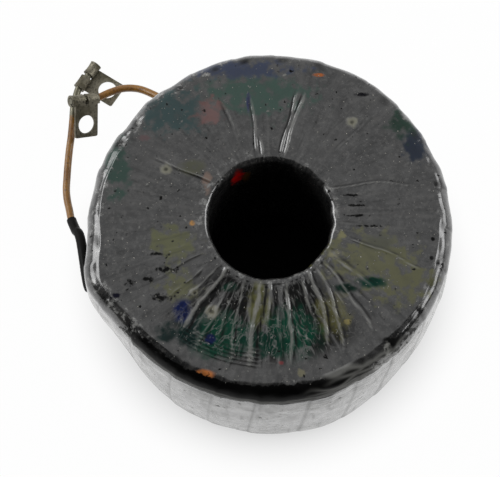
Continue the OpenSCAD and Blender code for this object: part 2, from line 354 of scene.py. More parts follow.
# Coordinates that run along the tape: slow from the bore over the top and down the side, quick across
flat_place = vectors(tree, "MULTIPLY", place, (1, 1, 0))
bearing = vectors(tree, "MULTIPLY", vectors(tree, "NORMALIZE", flat_place), (0.03, 0.03, 0.03))
high = add(tree, "ShaderNodeSeparateXYZ", {0: place}).outputs["Z"]
stretch = sum_up(tree, "SUBTRACT", high, vectors(tree, "LENGTH", flat_place))
lift = add(tree, "ShaderNodeCombineXYZ", {"Z": times(tree, stretch, 0.12)})
along_tape = vectors(tree, "ADD", bearing, lift.outputs[0])
drawn = noise(tree, along_tape, 800.0, 4.0)
mottle = noise(tree, place, 520.0, 7.0, Roughness=0.7)
colour = mix_colour(tree, grime["Cloud"], (0.010, 0.0105, 0.011, 1), (0.024, 0.024, 0.024, 1))
# Painted highlights: paler streaks along the tape, in place of the glints of thin pleats
colour = mix_colour(tree, ramp_value(tree, drawn, 0.48, 0.72), colour, (0.040, 0.039, 0.038, 1))
colour = mix_colour(tree, grime["Speck"], colour, (0.052, 0.051, 0.049, 1))
dull = sum_up(tree, "ADD", ramp_value(tree, drawn, 0.45, 0.28), ramp_value(tree, mottle, 0.60, 0.38))
tape = colour, times(tree, dull, 0.24)
# Painted dark reflection: near black streaks between the pleats in front, then the marks
zone = own_value(tree, "front_zone")
shade = noise(tree, along_tape, 420.0, 5.0, Distortion=0.6)
bare_copper_and_painted_dark = times(tree, ramp_value(tree, shade, 0.34, 0.46), zone)
tape = lay_over(tree, tape, bare_copper_and_painted_dark, BLACK_PIT_AND_PAINTED_DARK, 1.0)
for centre, reach, paint, ragged, dulled in MARKS:
    fineness = SMALL_MARK_GRAIN if min(reach) < 1 else MARK_GRAIN
    mask = soft_patch(tree, place, [*centre, MARK_Z][:3], [*reach, MARK_DEPTH][:3], ragged, fineness)
    tape = lay_over(tree, tape, mask, [*(v / 1000 for v in paint), 1], dulled)
# Grain, pits, scratches, and painted highlights on the crests of fine wrinkles
grain = times(tree, ramp_value(tree, mottle, 0.50, 0.70), 0.5)
tape = lay_over(tree, tape, grain, (0.050, 0.050, 0.048, 1))
nick = noise(tree, place, 780.0, 3.0)
tape = lay_over(tree, tape, ramp_value(tree, nick, 0.665, 0.71), BLACK_PIT_AND_PAINTED_DARK, 1.0)
tape = lay_over(tree, tape, ramp_value(tree, nick, 0.315, 0.285), (0.14, 0.14, 0.13, 1))
wrinkle = noise(tree, vectors(tree, "ADD", along_tape, place), 140.0, 3.5, Distortion=1.8)
level = sum_up(tree, "ABSOLUTE", sum_up(tree, "SUBTRACT", wrinkle, 0.5))
# Painted highlight: paler and glossier lines along the wrinkle crests in front
crest_highlight = times(tree, ramp_value(tree, level, 0.026, 0.003), zone)
colour, dull = lay_over(tree, tape, times(tree, crest_highlight, 0.42), (0.12, 0.12, 0.112, 1))
glossy_crest = sum_up(tree, "SUBTRACT", 1.0, times(tree, crest_highlight, 0.6))
tape = colour, times(tree, dull, glossy_crest)
for x, y, size in CRATERS:
    for share, ragged, fineness, paint in CRATER_RINGS:
        mask = soft_patch(tree, place, (x, y, MARK_Z), [share * size] * 3, ragged, fineness)
        tape = lay_over(tree, tape, mask, paint)
# What the ring's own point values place
# Painted shade: the pleat troughs near black with their gloss taken off; the lap seams next are the tape's
# own dark joints
tape = lay_over(tree, tape, own_value(tree, "fold_painted_shade"), BLACK_SEAM_AND_FOLD_SHADE, 0.95)
tape = lay_over(tree, tape, own_value(tree, "seam"), BLACK_SEAM_AND_FOLD_SHADE, 0.7)
# Painted dark reflection: a near black stripe with a ragged edge along the front rim, its gloss taken off
frayed_dark_band = times(tree, sum_up(tree, "SUBTRACT", mottle, 0.5), 2.4)
frayed_dark_band = sum_up(tree, "ADD", own_value(tree, "band"), frayed_dark_band)
tape = lay_over(tree, tape, ramp_value(tree, frayed_dark_band, 0.44, 0.56), BLACK_PAINTED_REFLECTION, 1.0)
# A lighter warm tint over the side, partly painted reflection of the pale floor
tape = lay_over(tree, tape, own_value(tree, "dust_and_side_sheen"), (0.085, 0.081, 0.062, 1))
# Painted highlights: pale lines on the pleat crests and wavy pale lines on the front rim
tape = lay_over(tree, tape, own_value(tree, "pale_highlight"), (0.25, 0.25, 0.235, 1))
# Pale scuffs on the left rim and the bore's edge, partly painted highlight
scraped_and_highlight = times(tree, ramp_value(tree, mottle, 0.53, 0.66), own_value(tree, "scuff_and_highlight"))
colour, dull = lay_over(tree, tape, scraped_and_highlight, (0.30, 0.30, 0.29, 1))
weave = noise(tree, place, 1300.0, 3.0)
bump = add(tree, "ShaderNodeBump", {"Height": weave, "Strength": 0.25, "Distance": 0.00014})
set_inputs(tree, bsdf, {"Base Color": colour, "Coat Weight": sum_up(tree, "SUBTRACT", 1.0, dull),
                        "Roughness": ramp_value(tree, grime["Cloud"], 0.0, 1.0, 0.32, 0.48),
                        "Normal": bump.outputs["Normal"], "IOR": 1.22, "Coat Roughness": 0.15,
                        "Coat IOR": 1.95})
print("tape finish nodes:", len(tree.nodes))

# %% [markdown]
# The bandage is the main piece. A plain ring would miss what makes it look wound: each turn of tape covers
# the edge of the one before, so the side shows two dozen upright steps, and the tape gathers into pleats
# where it turns into the narrower bore. The ring is a loft of one rounded section, with the pleats pressed
# into it in code, because each pleat has its own place in the photograph.

# %% Section of the ring
TURNS, LAPS = 576, 24
TOP_Z, CROWN_R, SIDE_SWELL = 39.7, 37.2, 0.7
BORE_R, BORE_EDGE = 13.05, 1.1
RIM_R, RIM_Z = 33.6, 35.7
FOOT_R, FOOT_Z, FOOT_EDGE = 33.6, 4.2, 1.2
SIDE_MIDDLE, SIDE_HALF = 20, 15.7


def arc(centre, reach, first, last, count):
    angles = np.radians(np.linspace(first, last, count + 2)[1:-1])
    return [(centre[0] + reach[0] * math.cos(a), centre[1] + reach[1] * math.sin(a)) for a in angles]


def side_r(z):
    return CROWN_R + SIDE_SWELL * (1 - ((z - SIDE_MIDDLE) / SIDE_HALF) ** 2)


def ring_section():
    """The section from the foot of the bore up, over the top, round the rim and back under the ring."""
    points = [(BORE_R, z) for z in np.linspace(FOOT_EDGE, TOP_Z - BORE_EDGE, 16)]
    points += arc((BORE_R + BORE_EDGE, TOP_Z - BORE_EDGE), (BORE_EDGE, BORE_EDGE), 180, 90, 9)
    points += [(r, TOP_Z) for r in np.linspace(BORE_R + BORE_EDGE, RIM_R - 5.6, 40)]
    points += [(r, TOP_Z) for r in np.linspace(RIM_R - 5.4, RIM_R, 27)]
    points += arc((RIM_R, RIM_Z), (side_r(RIM_Z) - RIM_R, TOP_Z - RIM_Z), 90, 0, 22)
    points += [(side_r(z), z) for z in np.linspace(RIM_Z - 0.3, 28.4, 14)]
    points += [(side_r(z), z) for z in np.linspace(27.0, 4.0, 14)]
    points += arc((FOOT_R, FOOT_Z), (side_r(FOOT_Z) - FOOT_R, FOOT_Z), 0, -90, 10)
    points += [(r, 0.0) for r in np.linspace(33.2, 14.6, 10)]
    points += arc((BORE_R + FOOT_EDGE, FOOT_EDGE), (FOOT_EDGE, FOOT_EDGE), 270, 180, 6)
    return np.array(points)


def rise(x, low, high):
    t = np.clip((x - low) / (high - low), 0, 1)
    return t * t * (3 - 2 * t)


def turn_gap(a, b):
    """The angle from b to a, in degrees, from -180 to 180."""
    return (a - b + 180) % 360 - 180


def near(at, within, beyond):
    """1 up to the first angle from that direction, falling to 0 at the second."""
    return 1 - rise(np.abs(turn_gap(angle, at)), within, beyond)


columns = np.arange(TURNS)[:, None] * 360.0 / TURNS
sections = np.repeat(ring_section()[None], TURNS, axis=0)
tangent = np.roll(sections, -1, axis=1) - np.roll(sections, 1, axis=1)
tangent /= np.linalg.norm(tangent, axis=2)[:, :, None]
radius, height = sections[:, :, 0], sections[:, :, 1]
out_r, out_z = -tangent[:, :, 1], tangent[:, :, 0]
slant = 0.25 * (np.minimum(radius, 38) - 26) + 0.10 * (TOP_Z - height)
angle = columns - slant
turned = np.radians(angle)
outer = radius > 30
on_top = rise(out_z, 0.35, 0.92)
on_side = rise(out_r, 0.2, 0.7) * outer
above_foot = out_z > -0.4
print("section points:", sections.shape[1])

# %% Pleats and lumps of the tape
draw = np.random.default_rng(24)


def crumple(count, per_turn, per_mm):
    """Smooth random hills made of waves in angle and radius, between about -1 and 1."""
    total = np.zeros_like(radius)
    for _ in range(count):
        waves = int(draw.integers(per_turn[0], per_turn[1]))
        across = draw.uniform(*per_mm) * draw.choice([-1, 1])
        total += np.sin(turned * waves + 2 * math.pi * across * radius + draw.uniform(0, 6.28))
    return total / math.sqrt(count)


# Angle at the bore, angle at the rim, first and last radius, half width, height
PLEATS = [
    (231, 233, 14, 31, 0.62, 0.34), (224, 226, 15, 27, 0.45, 0.20), (240, 242, 16, 33, 0.42, 0.22),
    (249, 256, 14, 31, 0.45, 0.26), (262, 262, 14, 33, 0.80, 0.32), (270, 268, 14, 24, 0.40, 0.24),
    (283, 277, 14, 33, 0.45, 0.32), (304, 291, 14, 31, 0.52, 0.36), (312, 296, 14, 33, 0.42, 0.30),
    (319, 310, 15, 33, 0.42, 0.28), (328, 322, 16, 28, 0.60, 0.20), (296, 287, 14, 24, 0.40, 0.26),
    (217, 221, 16, 30, 0.36, 0.16), (208, 209, 16, 31, 0.34, 0.14), (198, 198, 18, 27, 0.34, 0.12),
    (245, 248, 18, 30, 0.40, 0.16), (276, 273, 20, 33, 0.40, 0.16), (237, 237, 22, 31, 0.40, 0.14),
    (78, 74.5, 14.5, 30, 0.40, 0.42), (80.5, 77, 14.5, 30, 0.36, 0.36), (100, 97, 15, 29, 0.34, 0.26),
    (112, 110, 21, 29, 0.34, 0.22), (96, 101, 14, 20, 0.36, 0.26), (147, 153.5, 14.5, 29, 0.30, 0.24),
    (26.4, 11.6, 14.4, 32, 0.28, 0.20), (47, 47, 20, 33, 0.28, 0.13), (3, 4, 16, 33, 0.28, 0.08),
    (346, 340.5, 17, 34, 0.28, 0.22),
    (38, 33, 20, 33, 0.28, 0.08), (58, 52, 18, 30, 0.28, 0.07), (125, 122, 17, 30, 0.28, 0.07),
    (180, 178, 17, 30, 0.28, 0.05), (165, 163, 18, 32, 0.28, 0.05), (356, 351, 15, 26, 0.34, 0.12),
]
SMALL_FRONT, SMALL_ROUND = 46, 30
PLEAT_WIDTH, PLEAT_CREST, PLEAT_TROUGH = 0.72, 0.6, 0.35
for k in range(SMALL_FRONT + SMALL_ROUND):
    in_front = k < SMALL_FRONT
    at = draw.normal(270, 30) if in_front else draw.uniform(0, 360)
    swing = draw.normal(-4 if at > 285 else 1, 3)
    first = draw.uniform(14, 25)
    PLEATS.append((at, at + swing, first, first + draw.uniform(5, 12), draw.uniform(0.22, 0.36),
                   draw.uniform(0.05, 0.15) if in_front else draw.uniform(0.015, 0.045)))
pressed = np.zeros_like(radius)
for at_bore, at_rim, first, last, wide, tall in PLEATS:
    centre = at_bore + (at_rim - at_bore) * (radius - 14) / 19 + 0.5 * np.sin(radius * 0.55 + at_bore)
    across = radius * np.radians(turn_gap(angle, centre))
    reach = rise(radius, first - 1.5, first + 1.0) * (1 - rise(radius, last - 4, last))
    half = PLEAT_WIDTH * wide
    pressed += PLEAT_CREST * tall * reach * np.exp(-(np.abs(across) / half) ** 1.5)
    pressed -= PLEAT_TROUGH * tall * reach * np.exp(-((across - 1.9 * half) / half) ** 2)
front = near(272, 42, 74)
near_bore = 1 - rise(radius, 22, 32)
pressed += 0.030 * front * (0.3 + 0.7 * near_bore) * crumple(26, (20, 110), (0.05, 0.40))
pressed += 0.010 * crumple(18, (10, 60), (0.03, 0.25))
rippled = near(250, 12, 20) * rise(radius, 26.2, 27.5) * (1 - rise(radius, 31, 31.8))
pressed += 0.055 * rippled * np.sin(2 * math.pi * radius / 0.85 + 0.05 * angle)
x, y = radius * np.cos(turned), radius * np.sin(turned)
for cx, cy, size in CRATERS:
    away = np.hypot(x - cx, y - cy)
    wall, pit = np.exp(-((away - size) / (0.4 * size)) ** 2), np.exp(-(away / (0.5 * size)) ** 2)
    pressed += 0.09 * wall - 0.06 * pit
pressed *= on_top
ridges = np.clip((pressed - 0.055) / 0.10, 0, 1) * on_top
print("pleats: %d, from %.2f to %.2f mm" % (len(PLEATS), pressed.min(), pressed.max()))

# %% Outline and exits
FLAT_ANGLE, FLAT_HALF = 145.5, 10.5
off = np.abs(turn_gap(angle, FLAT_ANGLE))
flat = np.where(off < FLAT_HALF,
                38 * (math.cos(math.radians(FLAT_HALF)) / np.cos(np.radians(off)) - 1), 0.0)
# Angle, spread in degrees, how far it stands out, and whether it is on the upper part, the lower or both
BULGES = [(200, 10.5, 2.25, "upper"), (152, 3, 0.20, "upper"), (178, 6, 0.20, "both"),
          (123, 5, -0.50, "both"), (75, 34, 0.22, "both"), (350, 16, 0.25, "both"), (268, 20, 0.20, "both"),
          (318, 16, -0.55, "lower"), (288, 9, 0.35, "both"), (219, 11, -0.50, "lower")]
parts = {"upper": rise(height, 12, 30), "lower": 1 - rise(height, 20, 34), "both": 1.0}
bulge = sum(tall * np.exp(-(turn_gap(angle, at) / spread) ** 2) * parts[where]
            for at, spread, tall, where in BULGES)
outward = rise(radius, 30, 36) * (out_z > -0.5) * (flat + bulge)
lip = np.exp(-((radius - 34.3 - 0.25 * np.sin(turned * 9)) / 0.30) ** 2) * (height > 36)
lip_at = near(192, 38, 46) + 0.5 * near(335, 20, 35)
pressed += 0.21 * lip * lip_at
folded = near(304, 14, 28) * rise(height, 28, 32) * (1 - rise(out_z, 0.7, 0.9)) * outer
fold_turn = height / 1.6 + 0.055 * angle + 0.16 * np.sin(angle * 0.35) + 0.10 * np.sin(angle * 0.9 + 2)
pressed += 0.10 * folded * (np.abs((fold_turn % 1) * 2 - 1) - 0.5)
pressed += 0.055 * crumple(20, (12, 60), (0.0, 0.3)) * rise(out_r, 0.05, 0.3) * (height > 30)
EXIT_SWELL, EXIT_REACH = 0.9, 3.3
for exit_angle in (START_ANGLE, FINISH_ANGLE):
    away = np.hypot(radius * np.radians(turn_gap(angle, exit_angle)), height - EXIT_Z)
    pressed += EXIT_SWELL * np.exp(-(away / EXIT_REACH) ** 2) * outer
at_back = near(92, 30, 70)
bore_lip = 0.50 + 0.15 * at_back + 0.10 * crumple(10, (5, 22), (0.0, 0.05))
bore_lip = bore_lip * np.maximum(-out_r, 0) * rise(height, 26, 38)
pressed += bore_lip * (radius < 14.4)
pressed = np.where(out_z < -0.5, np.minimum(pressed, 0), pressed)
ring_r, ring_z = radius + pressed * out_r + outward, height + pressed * out_z
print("ring radius up to %.2f mm, height up to %.2f mm" % (ring_r.max(), ring_z.max()))

# %% Ring mesh
def mesh_piece(name, points, faces):
    """An object at the origin with these points, in millimetres, and faces."""
    mesh = bpy.data.meshes.new(name)
    mesh.from_pydata((np.asarray(points, float) * MM).tolist(), [], faces)
    mesh.validate()
    mesh.update()
    piece = bpy.data.objects.new(name, mesh)
    scene.collection.objects.link(piece)
    return piece


def face_outwards(piece):
    shape = bmesh.new()
    shape.from_mesh(piece.data)
    bmesh.ops.recalc_face_normals(shape, faces=shape.faces)
    shape.to_mesh(piece.data)
    shape.free()


def point_values(piece, name, values):
    attribute = piece.data.attributes.new(name, "FLOAT", "POINT")
    attribute.data.foreach_set("value", np.asarray(values, np.float32).ravel())


def loop_faces(rows, columns, close_rows=False):
    """Quads between neighbouring closed rings of points."""
    faces = []
    for i in range(rows if close_rows else rows - 1):
        a, b = i * columns, ((i + 1) % rows) * columns
        faces += [(a + j, a + (j + 1) % columns, b + (j + 1) % columns, b + j) for j in range(columns)]
    return faces


ring_points = np.stack([ring_r * np.cos(turned), ring_r * np.sin(turned), ring_z], axis=2)
wrap = mesh_piece("tape_wrap", ring_points.reshape(-1, 3), loop_faces(TURNS, sections.shape[1], True))
face_outwards(wrap)
lap_phase = (columns + 1.2 * np.sin(np.radians(columns) * 7)) * LAPS / 360
point_values(wrap, "lap_phase", np.broadcast_to(lap_phase, radius.shape))
point_values(wrap, "lap_depth", (on_side + 0.25 * on_top) * above_foot)
point_values(wrap, "lump", (on_side + 0.35 * on_top) * above_foot)
# Painted shade in the troughs of the pleats on the top
point_values(wrap, "fold_painted_shade", np.clip(-pressed / 0.10, 0, 1) * on_top)
front_zone = near(266, 30, 52) * rise(radius, 13.8, 15.0) * (1 - rise(radius, 28, 32.5))
point_values(wrap, "front_zone", front_zone * on_top)
facing = np.degrees(np.arctan2(out_z, out_r)) + 6 * np.sin(turned * 5)
# Where the front rim gets its painted dark reflection stripe
band_at = near(258, 30, 50) + 0.5 * near(305, 14, 28)
point_values(wrap, "band", band_at * rise(height, 35.1, 36.3) * (1 - rise(facing, 58, 82)) * outer)
# Painted highlights: on the crests of the pleats, and wavy lines along the front rim
pale_highlight, HIGHLIGHT_LINES = 0.6 * ridges, 9
for k in range(HIGHLIGHT_LINES):
    waves = draw.integers(9, 34, 3)
    wavy = sum(0.16 * np.sin(turned * w + draw.uniform(0, 6.28)) for w in waves)
    if k < 2:
        line, shown = 36.4 + 0.6 * k + 0.6 * wavy, near(268, 40, 62)
    else:
        middle = draw.uniform(294, 316)
        line = 39.2 - 0.55 * (k - 2) + wavy + draw.uniform(-0.06, 0.06) * turn_gap(angle, middle)
        shown = near(middle, 7, 20)
    highlight_line = 0.7 * np.exp(-((height - line) / 0.24) ** 2) * shown * (radius > RIM_R) * (out_z > -0.2)
    pale_highlight = np.maximum(pale_highlight, highlight_line)
point_values(wrap, "pale_highlight", pale_highlight)
# Pale scuffs on the left rim and round the bore's edge, partly painted highlight
left_rim = near(165, 50, 70) + 0.6 * near(340, 15, 40)
scuff_and_highlight = left_rim * rise(out_z, 0.4, 0.7) * (1 - rise(out_z, 0.985, 0.999)) * outer
scuff_and_highlight = np.maximum(scuff_and_highlight, 0.6 * (radius < 16) * rise(out_z, 0.3, 0.6) * (1 - rise(radius, 14.2, 16)))
point_values(wrap, "scuff_and_highlight", scuff_and_highlight)
# A lighter warm tint over the side, partly painted reflection of the pale floor
point_values(wrap, "dust_and_side_sheen", 0.6 * on_side * rise(height, 0, 8) * (1 - rise(height, 33, 35.2)))
near_edge = np.minimum(lap_phase % 1, 1 - lap_phase % 1) * 360 / LAPS * np.radians(1) * radius
point_values(wrap, "seam", 0.65 * np.exp(-(near_edge / 0.40) ** 2) * on_side * above_foot)
print("ring points:", len(wrap.data.vertices))

# %% [markdown]
# The laps repeat by a rule, so a node tree presses them into the ring: at every lap's edge the surface steps
# up by the tape's thickness and then falls back over the lap, and a slow noise adds the lumps of the winding
# beneath. The same tree could make a ring with more laps or thicker tape from the same inputs.

# %% Laps of tape by Geometry Nodes
def nodes_tree(name, inputs):
    """A Geometry Nodes tree with named inputs, the identifiers of these, and its two ends."""
    tree = bpy.data.node_groups.new(name, "GeometryNodeTree")
    tree.is_modifier = True
    tree.interface.new_socket("Geometry", in_out="INPUT", socket_type="NodeSocketGeometry")
    known = {}
    for label, kind in inputs:
        socket = tree.interface.new_socket(label, in_out="INPUT", socket_type="NodeSocket" + kind)
        known[label] = socket.identifier
    tree.interface.new_socket("Geometry", in_out="OUTPUT", socket_type="NodeSocketGeometry")
    return tree, known, add(tree, "NodeGroupInput").outputs, add(tree, "NodeGroupOutput").inputs


def named_value(tree, name):
    n = add(tree, "GeometryNodeInputNamedAttribute", {"Name": name}, data_type="FLOAT")
    return n.outputs["Attribute"]


def end_tree(tree, shape, finish, result):
    whole = add(tree, "GeometryNodeRealizeInstances", {"Geometry": shape})
    done = add(tree, "GeometryNodeSetMaterial", {"Geometry": whole.outputs[0], "Material": finish})
    tree.links.new(done.outputs[0], result["Geometry"])


def plain_mesh(piece):
    """Leaves what the piece's modifiers make as its plain mesh."""
    ready = piece.evaluated_get(bpy.context.evaluated_depsgraph_get())
    mesh = bpy.data.meshes.new_from_object(ready)
    piece.modifiers.clear()
    piece.data = mesh
    return mesh


def made_by(piece, tree, known, values):
    """Runs the tree on the piece with these values and leaves the result as its plain mesh."""
    modifier = piece.modifiers.new(tree.name, "NODES")
    modifier.node_group = tree
    for label, value in values.items():
        modifier[known[label]] = value
    plain_mesh(piece).name = piece.name
    return piece


laps, laps_in, given, result = nodes_tree("tape_laps", [
    ("Lap step", "Float"), ("Edge share", "Float"), ("Lump height", "Float"), ("Lumps per metre", "Float"),
    ("Finish", "Material")])
share = sum_up(laps, "FRACT", named_value(laps, "lap_phase"))
climb = sum_up(laps, "DIVIDE", share, given["Edge share"])
rest, beyond_edge = [sum_up(laps, "SUBTRACT", 1.0, part) for part in (share, given["Edge share"])]
fall = sum_up(laps, "DIVIDE", rest, beyond_edge)
step = times(laps, sum_up(laps, "MINIMUM", climb, fall), given["Lap step"])
step = times(laps, step, named_value(laps, "lap_depth"))
hills = add(laps, "ShaderNodeTexNoise", {"Scale": given["Lumps per metre"], "Detail": 2.0})
hill = times(laps, sum_up(laps, "SUBTRACT", hills.outputs["Fac"], 0.5), given["Lump height"])
hill = times(laps, hill, named_value(laps, "lump"))
push = add(laps, "ShaderNodeVectorMath", {0: add(laps, "GeometryNodeInputNormal").outputs[0],
                                          "Scale": sum_up(laps, "ADD", step, hill)}, operation="SCALE")
moved = add(laps, "GeometryNodeSetPosition", {"Geometry": given["Geometry"], "Offset": push.outputs[0]})
smooth = add(laps, "GeometryNodeSetShadeSmooth", {"Geometry": moved.outputs[0]})
end_tree(laps, smooth.outputs[0], given["Finish"], result)
made_by(wrap, laps, laps_in, {"Lap step": 0.16 * MM, "Edge share": 0.07, "Lump height": 0.9 * MM,
                              "Lumps per metre": 85.0, "Finish": tape_finish})
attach(wrap, "root")
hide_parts("outer_wrap")
print("tape wrap faces:", len(wrap.data.polygons))

# %% [markdown]
# Crumbs of dried varnish and dust sit on the top as pale specks. They are scattered over the faces that look
# up, from a fixed seed, each a tiny flattened ball turned with the surface, which is enough at their size.

# %% Crumbs on the top by Geometry Nodes
dust_finish, tree, bsdf = new_finish("dust_and_side_sheen")
grime = grime_of(tree, 300.0, 2500.0)
crumb_colour = mix_colour(tree, grime["Cloud"], (0.16, 0.16, 0.15, 1), (0.42, 0.40, 0.35, 1))
set_inputs(tree, bsdf, {"Base Color": crumb_colour, "Roughness": 0.8})
scatter, scatter_in, given, result = nodes_tree("crumbs", [
    ("Per square metre", "Float"), ("Size", "Float"), ("Seed", "Int"), ("Finish", "Material")])
facing = add(scatter, "ShaderNodeSeparateXYZ", {0: add(scatter, "GeometryNodeInputNormal").outputs[0]})
looks_up = add(scatter, "FunctionNodeCompare", {0: facing.outputs["Z"], 1: 0.93}, operation="GREATER_THAN")
spots = add(scatter, "GeometryNodeDistributePointsOnFaces",
            {"Mesh": given["Geometry"], "Selection": looks_up.outputs[0],
             "Density": given["Per square metre"], "Seed": given["Seed"]})
ball = add(scatter, "GeometryNodeMeshIcoSphere", {"Radius": given["Size"], "Subdivisions": 1})
spread = add(scatter, "FunctionNodeRandomValue",
             {0: (0.4, 0.4, 0.25), 1: (1.5, 1.2, 0.6), "Seed": given["Seed"]}, data_type="FLOAT_VECTOR")
placed = add(scatter, "GeometryNodeInstanceOnPoints",
             {"Points": spots.outputs["Points"], "Instance": ball.outputs["Mesh"],
              "Rotation": spots.outputs["Rotation"], "Scale": spread.outputs[0]})
end_tree(scatter, placed.outputs[0], given["Finish"], result)
crumbs = bpy.data.objects.new("varnish_crumbs", wrap.data.copy())
scene.collection.objects.link(crumbs)
made_by(crumbs, scatter, scatter_in, {"Per square metre": 150000.0, "Size": 0.12 * MM, "Seed": 7,
                                      "Finish": dust_finish})
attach(crumbs, "root")
print("crumb faces:", len(crumbs.data.polygons))

# %% [markdown]
# The leads are round bars bent along their routes. A curve with a bevel would do, but a mesh tube can carry
# the distance from the root at every point, so one finish can be brown enamel along the wire and bare tinned
# copper where the enamel was stripped for the crimp.

# %% Tubes along a route
def frames_along(route):
    """A pair of directions across the route at each point, carried along without twisting."""
    way = np.gradient(route, axis=0)
    way /= np.linalg.norm(way, axis=1)[:, None]
    side = np.cross(way[0], (0.3, 0.2, 0.93))
    sides = []
    for w in way:
        side = side - w * side.dot(w)
        side /= np.linalg.norm(side)
        sides.append(side)
    sides = np.array(sides)
    return sides, np.cross(way, sides)


def tube(name, route, stations, columns=24):
    """A closed tube: each station is a point number of the route and a radius there."""
    sides, ups = frames_along(route)
    turn = np.linspace(0, 2 * math.pi, columns, endpoint=False)
    rings = [route[i] + r * (np.cos(turn)[:, None] * sides[i] + np.sin(turn)[:, None] * ups[i])
             for i, r in stations]
    points = np.concatenate(rings)
    faces = loop_faces(len(rings), columns)
    faces += [tuple(range(columns)), tuple(len(points) - columns + k for k in range(columns))]
    piece = mesh_piece(name, points, faces)
    face_outwards(piece)
    walked = walked_along(route)
    point_values(piece, "along", np.repeat([walked[i] for i, r in stations], columns))
    piece.data.shade_smooth()
    piece.data.set_sharp_from_angle(angle=math.radians(50))
    return piece


def lead(name, route):
    last = len(route) - 1
    end_r = WIRE_R - WIRE_CHAMFER
    stations = [(0, end_r)] + [(i, WIRE_R) for i in range(last)] + [(last, end_r)]
    return tube(name, route, stations)


start_lead, finish_lead = lead("start_wire", start_route), lead("finish_wire", finish_route)
print("lead points:", len(start_lead.data.vertices), len(finish_lead.data.vertices))

# %% Enamel and tinned copper finish
def wire_finish(name, bare_from):
    """Brown enamel with streaks, and tinned copper from that many millimetres along the wire."""
    finish, tree, bsdf = new_finish(name)
    grime = grime_of(tree, 260.0, 1800.0)
    enamel = mix_colour(tree, grime["Cloud"], (0.33, 0.155, 0.025, 1), (0.22, 0.095, 0.016, 1))
    enamel = mix_colour(tree, grime["Speck"], enamel, (0.12, 0.05, 0.012, 1))
    tin = mix_colour(tree, grime["Cloud"], (0.20, 0.19, 0.135, 1), (0.10, 0.09, 0.055, 1))
    ragged = sum_up(tree, "MULTIPLY_ADD", grime["Speck"], 0.8, own_value(tree, "along"))
    bare_copper_and_painted_dark = ramp_value(tree, ragged, bare_from - 0.4, bare_from + 0.4)
    set_inputs(tree, bsdf, {"Base Color": mix_colour(tree, bare_copper_and_painted_dark, enamel, tin),
                            "Metallic": times(tree, bare_copper_and_painted_dark, 0.6),
                            "Roughness": ramp_value(tree, grime["Cloud"], 0, 1, 0.34, 0.52),
                            "Coat Weight": 0.2, "Coat Roughness": 0.2})
    return finish


BARE_Y, START_BARE_L = 37.2, 4.6
bare_point = int(np.argmax(finish_route[:, 1] > BARE_Y))
finish_bare = route_length(finish_route[:bare_point + 1])
start_bare = route_length(start_route) - START_BARE_L
start_lead.data.materials.append(wire_finish("start_wire_enamel", start_bare))
finish_lead.data.materials.append(wire_finish("finish_wire_enamel", finish_bare))
print("enamel ends %.1f and %.1f mm along" % (start_bare, finish_bare))

# %% [markdown]
# A short black sleeve guards each wire where it leaves the tape. It is a thin tube slipped over the wire, so
# its free end shows a cut ring with the wire inside it.

# %% Sleeves
SLEEVE_OUT, SLEEVE_IN = 1.11, 0.91
SLEEVE_ROOT_R = 35.45


def sleeve(name, route, end_point):
    first = int(np.argmin(np.abs(np.hypot(route[:, 0], route[:, 1])[:20] - SLEEVE_ROOT_R)))
    last = int(np.argmin(np.linalg.norm(route - np.array(end_point), axis=1)))
    wobble = np.random.default_rng(5)
    stations = [(i, SLEEVE_OUT + 0.02 * wobble.uniform(-1, 1)) for i in range(first, last + 1)]
    stations += [(last, SLEEVE_IN), (last - 4, SLEEVE_IN)]
    return tube(name, route, stations)


sleeve_finish, tree, bsdf = new_finish("black_sleeve")
grime = grime_of(tree, 220.0, 1600.0)
sleeve_colour = mix_colour(tree, grime["Cloud"], (0.0032, 0.0032, 0.0032, 1), (0.0080, 0.0076, 0.0072, 1))
set_inputs(tree, bsdf, {"Base Color": sleeve_colour, "IOR": 1.2,
                        "Roughness": ramp_value(tree, grime["Cloud"], 0, 1, 0.38, 0.55)})
start_sleeve = sleeve("start_wire_sleeve", start_route, START_POINTS[0])
finish_sleeve = sleeve("finish_wire_sleeve", finish_route, FINISH_POINTS[2])
for piece, node in ((start_sleeve, "start_sleeve"), (finish_sleeve, "finish_sleeve")):
    piece.data.materials.append(sleeve_finish)
    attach(piece, "root")
    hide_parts(node)
print("sleeves made")

# %% [markdown]
# A flag terminal is stamped from tinned brass sheet: a flat tab with a screw hole, and two grips beside it
# that are rolled round the wire, one on the bare end and one on the enamel. The tab is a filled outline with
# thickness, and each grip is a strip carried round the wire, so the sheet keeps its gauge everywhere.

# %% Flag terminals
SHEET, CURL_R, CURL = 0.5, 0.88, 295
TAB_W, TAB_REACH, SCREW_R, SCREW_Y = 6.0, 8.6, 2.15, -5.55
GRIP_L, GRIP_GAP, NOTCH = 3.1, 0.9, 0.9
BARREL = 2 * GRIP_L + GRIP_GAP
CORNER = 0.45


def tab_outline():
    half, barrel, gap = TAB_W / 2, BARREL / 2, GRIP_GAP / 2
    corners = []
    for sx, angles in ((-1, np.linspace(180, 270, 5)), (1, np.linspace(270, 360, 5))):
        for a in np.radians(angles):
            corners.append((sx * (half - CORNER) + CORNER * math.cos(a),
                            -TAB_REACH + CORNER + CORNER * math.sin(a)))
    return corners + [(half, -NOTCH), (barrel, -NOTCH), (barrel, 0), (gap, 0), (gap, -NOTCH + 0.1),
                      (-gap, -NOTCH + 0.1), (-gap, 0), (-barrel, 0), (-barrel, -NOTCH), (-half, -NOTCH)]


